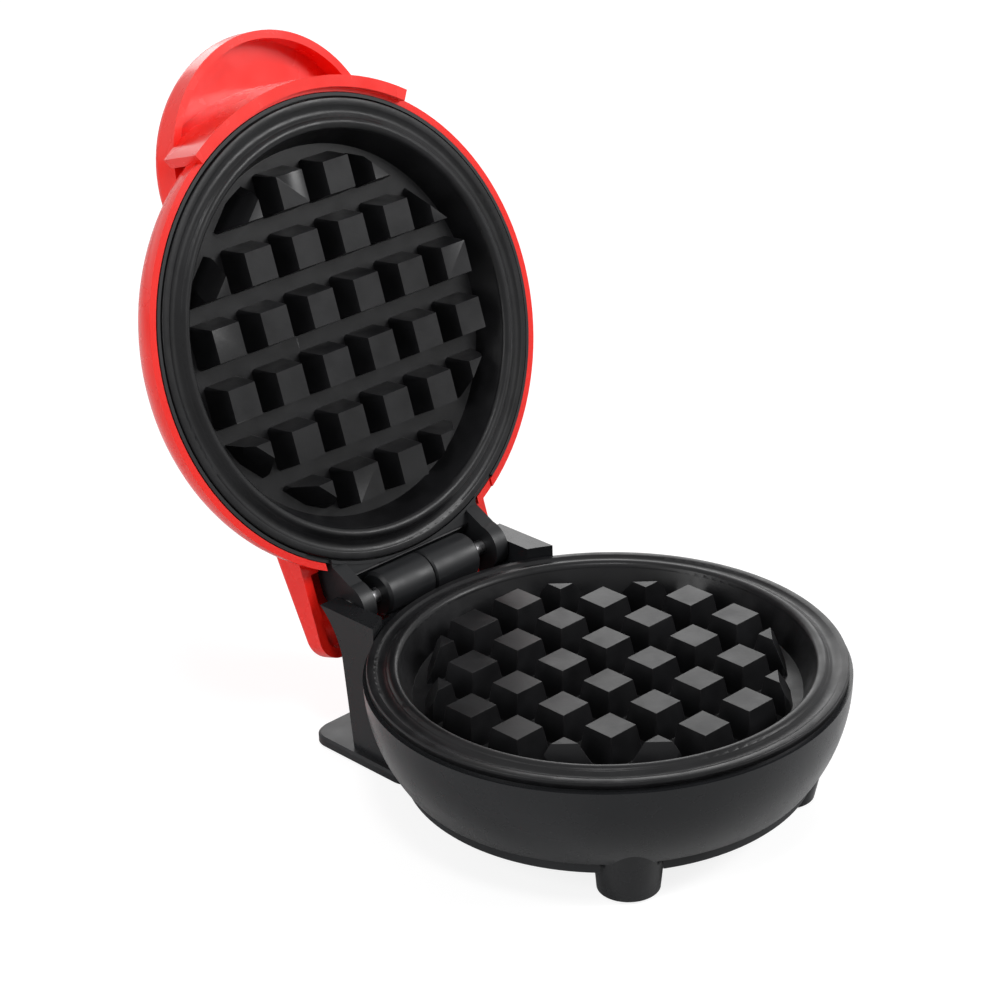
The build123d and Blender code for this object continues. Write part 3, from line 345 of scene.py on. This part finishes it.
def screw_tree():
    """Stands a cross-head screw, head downwards, on each point of a mesh."""
    tree = bpy.data.node_groups.new("cross_head_screw", "GeometryNodeTree")
    face = tree.interface
    face.new_socket("Spots", in_out="INPUT", socket_type="NodeSocketGeometry")
    for label, value in SCREW_SIZES.items():
        made = face.new_socket(label, in_out="INPUT", socket_type="NodeSocketFloat")
        made.default_value = value * MM
    face.new_socket("Finish", in_out="INPUT", socket_type="NodeSocketMaterial")
    face.new_socket("Screws", in_out="OUTPUT", socket_type="NodeSocketGeometry")
    start = tree.nodes.new("NodeGroupInput")
    end = tree.nodes.new("NodeGroupOutput")

    def link(source, target):
        tree.links.new(source, target)

    def maths(operation, first, second):
        made = tree.nodes.new("ShaderNodeMath")
        made.operation = operation
        for place, value in zip(made.inputs, (first, second)):
            if isinstance(value, float):
                place.default_value = value
            else:
                link(value, place)
        return made.outputs[0]

    def lifted(geometry, height):
        shift = tree.nodes.new("ShaderNodeCombineXYZ")
        link(height, shift.inputs["Z"])
        move = tree.nodes.new("GeometryNodeTransform")
        link(geometry, move.inputs["Geometry"])
        link(shift.outputs[0], move.inputs["Translation"])
        return move.outputs["Geometry"]

    def rod(radius, length, sides):
        made = tree.nodes.new("GeometryNodeMeshCylinder")
        made.inputs["Vertices"].default_value = sides
        link(radius, made.inputs["Radius"])
        link(length, made.inputs["Depth"])
        return lifted(made.outputs["Mesh"], maths("MULTIPLY", length, 0.5))

    head = rod(start.outputs["Head Radius"], start.outputs["Head Height"], HEAD_SIDES)
    shank_length = maths("ADD", start.outputs["Head Height"], start.outputs["Shank Length"])
    shank = rod(start.outputs["Shank Radius"], shank_length, SHANK_SIDES)
    slots = []
    long_side = maths("MULTIPLY", start.outputs["Head Radius"], CROSS_LENGTH)
    short_side = maths("MULTIPLY", start.outputs["Head Radius"], CROSS_WIDTH)
    for turned in (False, True):
        size = tree.nodes.new("ShaderNodeCombineXYZ")
        link(short_side if turned else long_side, size.inputs["X"])
        link(long_side if turned else short_side, size.inputs["Y"])
        link(start.outputs["Head Height"], size.inputs["Z"])
        block = tree.nodes.new("GeometryNodeMeshCube")
        link(size.outputs[0], block.inputs["Size"])
        slots.append(block.outputs["Mesh"])
    cut = tree.nodes.new("GeometryNodeMeshBoolean")
    cut.operation = "DIFFERENCE"
    link(head, cut.inputs["Mesh 1"])
    for slot in slots:
        link(slot, cut.inputs["Mesh 2"])
    both = tree.nodes.new("GeometryNodeJoinGeometry")
    link(cut.outputs["Mesh"], both.inputs[0])
    link(shank, both.inputs[0])
    stand = tree.nodes.new("GeometryNodeInstanceOnPoints")
    link(start.outputs["Spots"], stand.inputs["Points"])
    link(both.outputs[0], stand.inputs["Instance"])
    real = tree.nodes.new("GeometryNodeRealizeInstances")
    link(stand.outputs[0], real.inputs[0])
    paint = tree.nodes.new("GeometryNodeSetMaterial")
    link(real.outputs[0], paint.inputs["Geometry"])
    link(start.outputs["Finish"], paint.inputs["Material"])
    link(paint.outputs[0], end.inputs["Screws"])
    return tree


SCREW_TREE = screw_tree()
BIG_HEAD = {"Head Radius": 2.58, "Head Height": 1.4}
SMALL_HEAD = {"Head Radius": 1.58, "Head Height": 1.0, "Shank Radius": 0.9}


def screws(node, name, spots, height, body, shank, head=BIG_HEAD, up=False, swung=False):
    """Screws at spots in the drawing frame, heads at a height and facing down, or up."""
    sizes = {"Shank Length": shank, **head}
    mesh = bpy.data.meshes.new(name + "_spots")
    mesh.from_pydata([(x * MM, y * MM, 0) for x, y in spots], [], [])
    work = bpy.data.objects.new(name + "_work", mesh)
    bpy.context.scene.collection.objects.link(work)
    stand = work.modifiers.new("screws", "NODES")
    stand.node_group = SCREW_TREE
    for place in SCREW_TREE.interface.items_tree:
        if place.in_out == "INPUT" and place.name in sizes:
            stand[place.identifier] = sizes[place.name] * MM
        if place.in_out == "INPUT" and place.name == "Finish":
            stand[place.identifier] = steel
    work.data.update()
    piece = bake(work, name)
    place = Matrix.Translation(Vector((0, ROW_SHIFT_Y, height * MM)))
    if up:
        place = place @ Matrix.Rotation(pi, 4, "Y")
    if swung:
        place = SWING_OPEN @ place
    piece.data.transform(place)
    piece.data.polygons.foreach_set("use_smooth", [True] * len(piece.data.polygons))
    piece.data.set_sharp_from_angle(angle=radians(30))
    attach(piece, body)
    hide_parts(node)


def ring(radius, turns):
    return [(radius * cos(radians(turn)), radius * sin(radians(turn))) for turn in turns]


CORNERS = (45, 135, 225, 315)
COVER_SPOTS = ring(46.5, (-90, 15, 165))
FOOT_SPOTS = [(-28.8, 52.9), (28.8, 52.9)]
PLATE_SPOTS = ring(26.0, CORNERS)
FRAME_SPOTS = ring(58.3, CORNERS)
screws("bottom_cover_screws", "bottom_cover_cross_screws", COVER_SPOTS, 8.8, "body", 7.5)
screws("rear_foot_screws", "rear_foot_cross_screws", FOOT_SPOTS, 0.5, "body", 6.5)
screws("lower_plate_screws", "lower_shield_cross_screws", PLATE_SPOTS, 22.2, "body", 4.2)
screws("upper_plate_screws", "upper_shield_cross_screws", PLATE_SPOTS, 58.7, "lid", 4.2, up=True, swung=True)
screws("lid_frame_screws", "lid_frame_cross_screws", FRAME_SPOTS, 43.7, "lid", 5.6, SMALL_HEAD, swung=True)


# Floor, backdrop and light
FLOOR_HALF = 3.0
FLOOR_Z = -0.2 * MM
FLOOR_GLOW = 0.84
FLOOR_SHADE = 0.30
WORLD_LEVEL = 0.16


def make_floor():
    """A pale floor that shows white to the camera and keeps a soft shadow."""
    mesh = bpy.data.meshes.new("floor")
    build = bmesh.new()
    corners = [(x * FLOOR_HALF, y * FLOOR_HALF, FLOOR_Z) for x, y in ((-1, -1), (1, -1), (1, 1), (-1, 1))]
    build.faces.new([build.verts.new(corner) for corner in corners])
    build.to_mesh(mesh)
    build.free()
    floor = bpy.data.objects.new("floor", mesh)
    bpy.context.scene.collection.objects.link(floor)
    f = Finish("floor_white")
    f.set(Roughness=0.9)
    f.shader.inputs["Base Color"].default_value = (0.80, 0.80, 0.80, 1)
    glow = f.node("ShaderNodeEmission")
    glow.inputs["Strength"].default_value = FLOOR_GLOW
    shade = f.node("ShaderNodeBsdfDiffuse")
    shade.inputs["Color"].default_value = (FLOOR_SHADE, FLOOR_SHADE, FLOOR_SHADE, 1)
    both = f.node("ShaderNodeAddShader")
    f.link(glow.outputs[0], both.inputs[0])
    f.link(shade.outputs[0], both.inputs[1])
    ray = f.node("ShaderNodeLightPath")
    seen = f.node("ShaderNodeMath", operation="MAXIMUM")
    f.link(ray.outputs["Is Camera Ray"], seen.inputs[0])
    f.link(ray.outputs["Is Transmission Ray"], seen.inputs[1])
    mix = f.node("ShaderNodeMixShader")
    f.link(seen.outputs[0], mix.inputs[0])
    f.link(f.shader.outputs[0], mix.inputs[1])
    f.link(both.outputs[0], mix.inputs[2])
    f.link(mix.outputs[0], f.tree.nodes["Material Output"].inputs["Surface"])
    mesh.materials.append(f.material)


def make_world():
    """A pale sky for the light, and a white one to the camera and in reflections."""
    world = bpy.data.worlds.new("studio")
    bpy.context.scene.world = world
    world.use_nodes = True
    tree = world.node_tree
    tree.nodes.clear()
    soft = tree.nodes.new("ShaderNodeBackground")
    soft.inputs["Color"].default_value = (0.96, 0.98, 1.0, 1)
    soft.inputs["Strength"].default_value = WORLD_LEVEL
    white = tree.nodes.new("ShaderNodeBackground")
    white.inputs["Color"].default_value = (1, 1, 1, 1)
    white.inputs["Strength"].default_value = 1.0
    ray = tree.nodes.new("ShaderNodeLightPath")
    seen = ray.outputs["Is Camera Ray"]
    for kind in ("Is Glossy Ray", "Is Transmission Ray"):
        either = tree.nodes.new("ShaderNodeMath")
        either.operation = "MAXIMUM"
        tree.links.new(seen, either.inputs[0])
        tree.links.new(ray.outputs[kind], either.inputs[1])
        seen = either.outputs[0]
    mix = tree.nodes.new("ShaderNodeMixShader")
    out = tree.nodes.new("ShaderNodeOutputWorld")
    tree.links.new(seen, mix.inputs[0])
    tree.links.new(soft.outputs[0], mix.inputs[1])
    tree.links.new(white.outputs[0], mix.inputs[2])
    tree.links.new(mix.outputs[0], out.inputs["Surface"])


def area_light(name, place, target, size, power):
    """A soft panel at a place, turned towards a target, hidden from the camera itself."""
    data = bpy.data.lights.new(name, "AREA")
    data.shape = "RECTANGLE"
    data.size = size[0]
    data.size_y = size[1]
    data.energy = power
    lamp = bpy.data.objects.new(name, data)
    bpy.context.scene.collection.objects.link(lamp)
    away = (Vector(place) - Vector(target)).normalized()
    lamp.matrix_world = Matrix.Translation(Vector(place)) @ away.to_track_quat("Z", "Y").to_matrix().to_4x4()
    lamp.visible_camera = False


make_floor()
make_world()
MIDDLE = (0, 0, 0.08)
LOWER_PEGS = (0, -0.03, 0.04)
area_light("key_softbox", (0.85, -0.95, 0.85), MIDDLE, (0.55, 0.55), 15.0)
area_light("left_softbox", (-1.15, 0.10, 0.60), MIDDLE, (0.5, 0.9), 7.0)
area_light("rear_panel", (0.95, 1.05, 0.62), MIDDLE, (1.7, 0.7), 9.0)
area_light("top_lamp", (-0.33, -0.36, 1.15), LOWER_PEGS, (0.22, 0.22), 3.5)
bpy.context.scene.view_settings.view_transform = "Standard"
